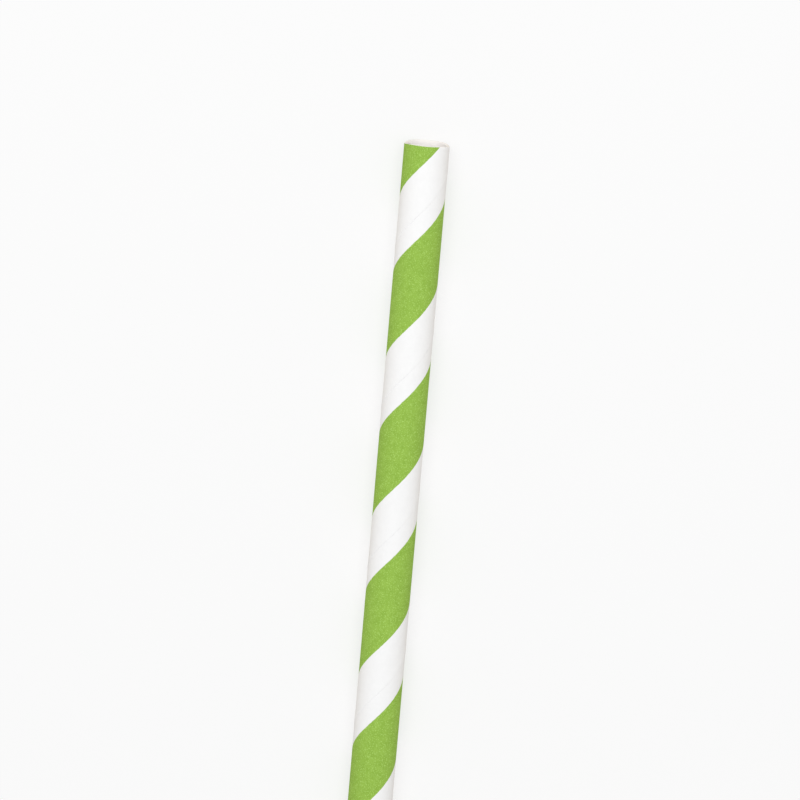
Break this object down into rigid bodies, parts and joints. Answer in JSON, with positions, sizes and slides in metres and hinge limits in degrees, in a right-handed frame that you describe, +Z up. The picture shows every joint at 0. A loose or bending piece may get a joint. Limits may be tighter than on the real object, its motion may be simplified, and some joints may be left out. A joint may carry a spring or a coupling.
{
  "type": "paper drinking straw",
  "caption": "Straight round paper tube, wound from strips in a right-hand helix, with a printed green stripe on white, open at both cut ends.",
  "frame": {"origin": "on the surface that the straw lies on, under the middle of its length", "axes": "+X along the straw towards the drinking end, +Z up, +Y across"},
  "size_m": [0.197, 0.006, 0.0059],
  "materials": {
    "paper": "uncoated wound paper, matt, with one printed leaf-green band"
  },
  "bodies": {
    "root": {"straw": "paper"}
  },
  "joints": []
}
